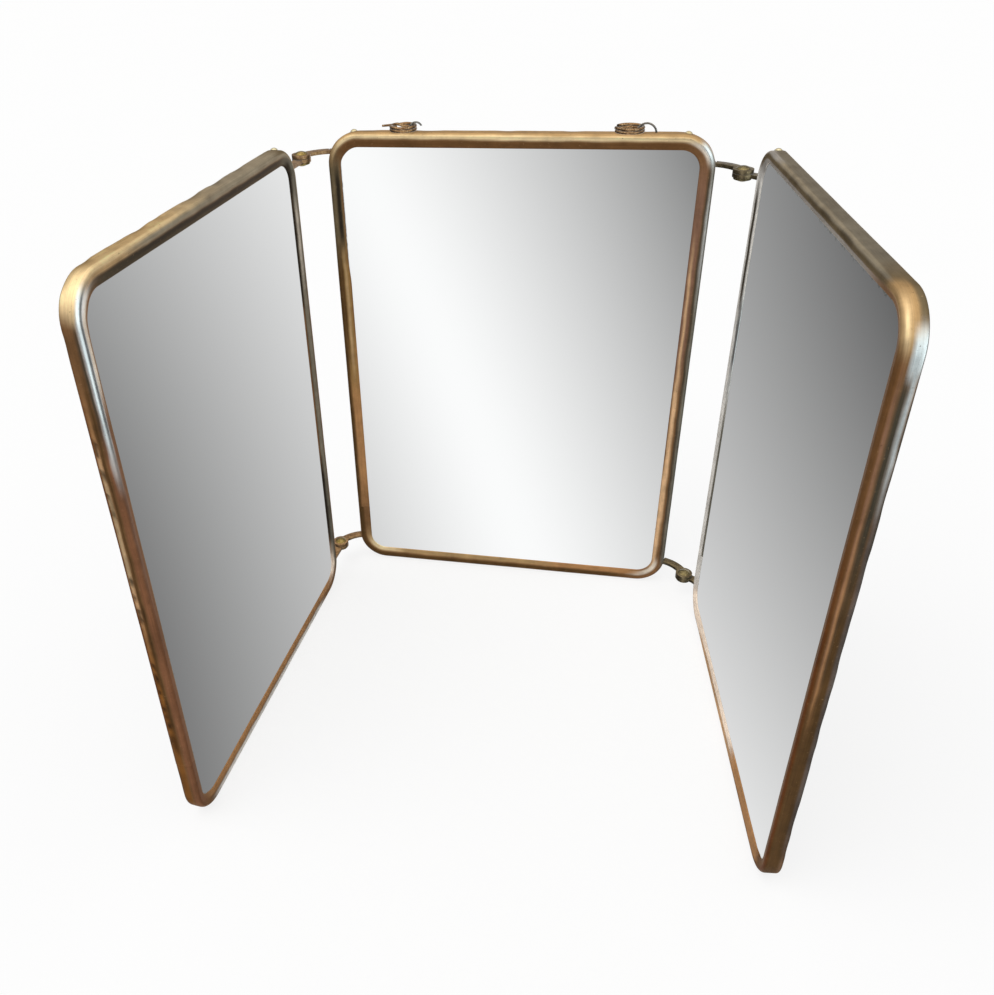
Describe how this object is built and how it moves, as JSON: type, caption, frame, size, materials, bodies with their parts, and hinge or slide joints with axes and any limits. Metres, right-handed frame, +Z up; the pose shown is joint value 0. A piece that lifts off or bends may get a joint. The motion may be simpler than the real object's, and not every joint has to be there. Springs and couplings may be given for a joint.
{
  "type": "trifold vanity mirror",
  "caption": "Folding triptych mirror: a centre panel and two hinged wings of glass in rolled brass channel frames, with small hanging rings on top.",
  "frame": {"origin": "on the lower face of the centre frame, at its mid-width and the middle of its depth", "axes": "+X to the right along the centre panel, +Y to the back, away from the viewer, +Z up"},
  "size_m": [0.2496, 0.2118, 0.2543],
  "materials": {
    "worn_nickel_brass": "rolled sheet brass, nickel plating worn through to warm brown and gold",
    "silvered_glass": "plain silvered mirror glass",
    "pasteboard": "plain grey-brown pasteboard",
    "japanned_tinplate": "dark baked lacquer, rubbed dull",
    "hinge_brass": "flat brass strip, brown patina",
    "rivet_brass": "set brass rivet, dark patina",
    "ring_wire": "drawn brass wire, dark patina"
  },
  "bodies": {
    "centre": {"centre_back_plate": "japanned_tinplate", "centre_frame": "worn_nickel_brass", "centre_frame_rivets": "worn_nickel_brass", "centre_mirror_glass": "silvered_glass", "centre_packing_sheet": "pasteboard", "centre_strap_bottom_left": "hinge_brass", "centre_strap_bottom_right": "hinge_brass", "centre_strap_top_left": "hinge_brass", "centre_strap_top_right": "hinge_brass", "hinge_rivet_bottom_left": "rivet_brass", "hinge_rivet_bottom_right": "rivet_brass", "hinge_rivet_top_left": "rivet_brass", "hinge_rivet_top_right": "rivet_brass", "hinge_washer_bottom_left": "rivet_brass", "hinge_washer_bottom_right": "rivet_brass", "hinge_washer_top_left": "rivet_brass", "hinge_washer_top_right": "rivet_brass", "left_ring_staple": "ring_wire", "right_ring_staple": "ring_wire"},
    "left_wing": {"left_back_plate": "japanned_tinplate", "left_frame": "worn_nickel_brass", "left_frame_rivets": "worn_nickel_brass", "left_mirror_glass": "silvered_glass", "left_packing_sheet": "pasteboard", "left_wing_strap_bottom": "hinge_brass", "left_wing_strap_top": "hinge_brass"},
    "right_wing": {"right_back_plate": "japanned_tinplate", "right_frame": "worn_nickel_brass", "right_frame_rivets": "worn_nickel_brass", "right_mirror_glass": "silvered_glass", "right_packing_sheet": "pasteboard", "right_wing_strap_bottom": "hinge_brass", "right_wing_strap_top": "hinge_brass"},
    "left_hanger": {"left_hanging_ring": "ring_wire"},
    "right_hanger": {"right_hanging_ring": "ring_wire"}
  },
  "joints": [
    {"name": "left_wing_hinge", "type": "hinge", "parent": "centre", "child": "left_wing", "pos_m": [-0.101, -0.009, 0.125], "axis": [0, 0, 1], "range_deg": [-106.1, 93.9]},
    {"name": "right_wing_hinge", "type": "hinge", "parent": "centre", "child": "right_wing", "pos_m": [0.101, -0.01, 0.125], "axis": [0, 0, -1], "range_deg": [-103.9, 96.1]},
    {"name": "left_ring_pivot", "type": "hinge", "parent": "centre", "child": "left_hanger", "pos_m": [-0.047, 0.0005, 0.25155], "axis": [0, 1, 0], "range_deg": [0, 180]},
    {"name": "right_ring_pivot", "type": "hinge", "parent": "centre", "child": "right_hanger", "pos_m": [0.0571, 0.0005, 0.25155], "axis": [0, 1, 0], "range_deg": [0, 180]}
  ]
}
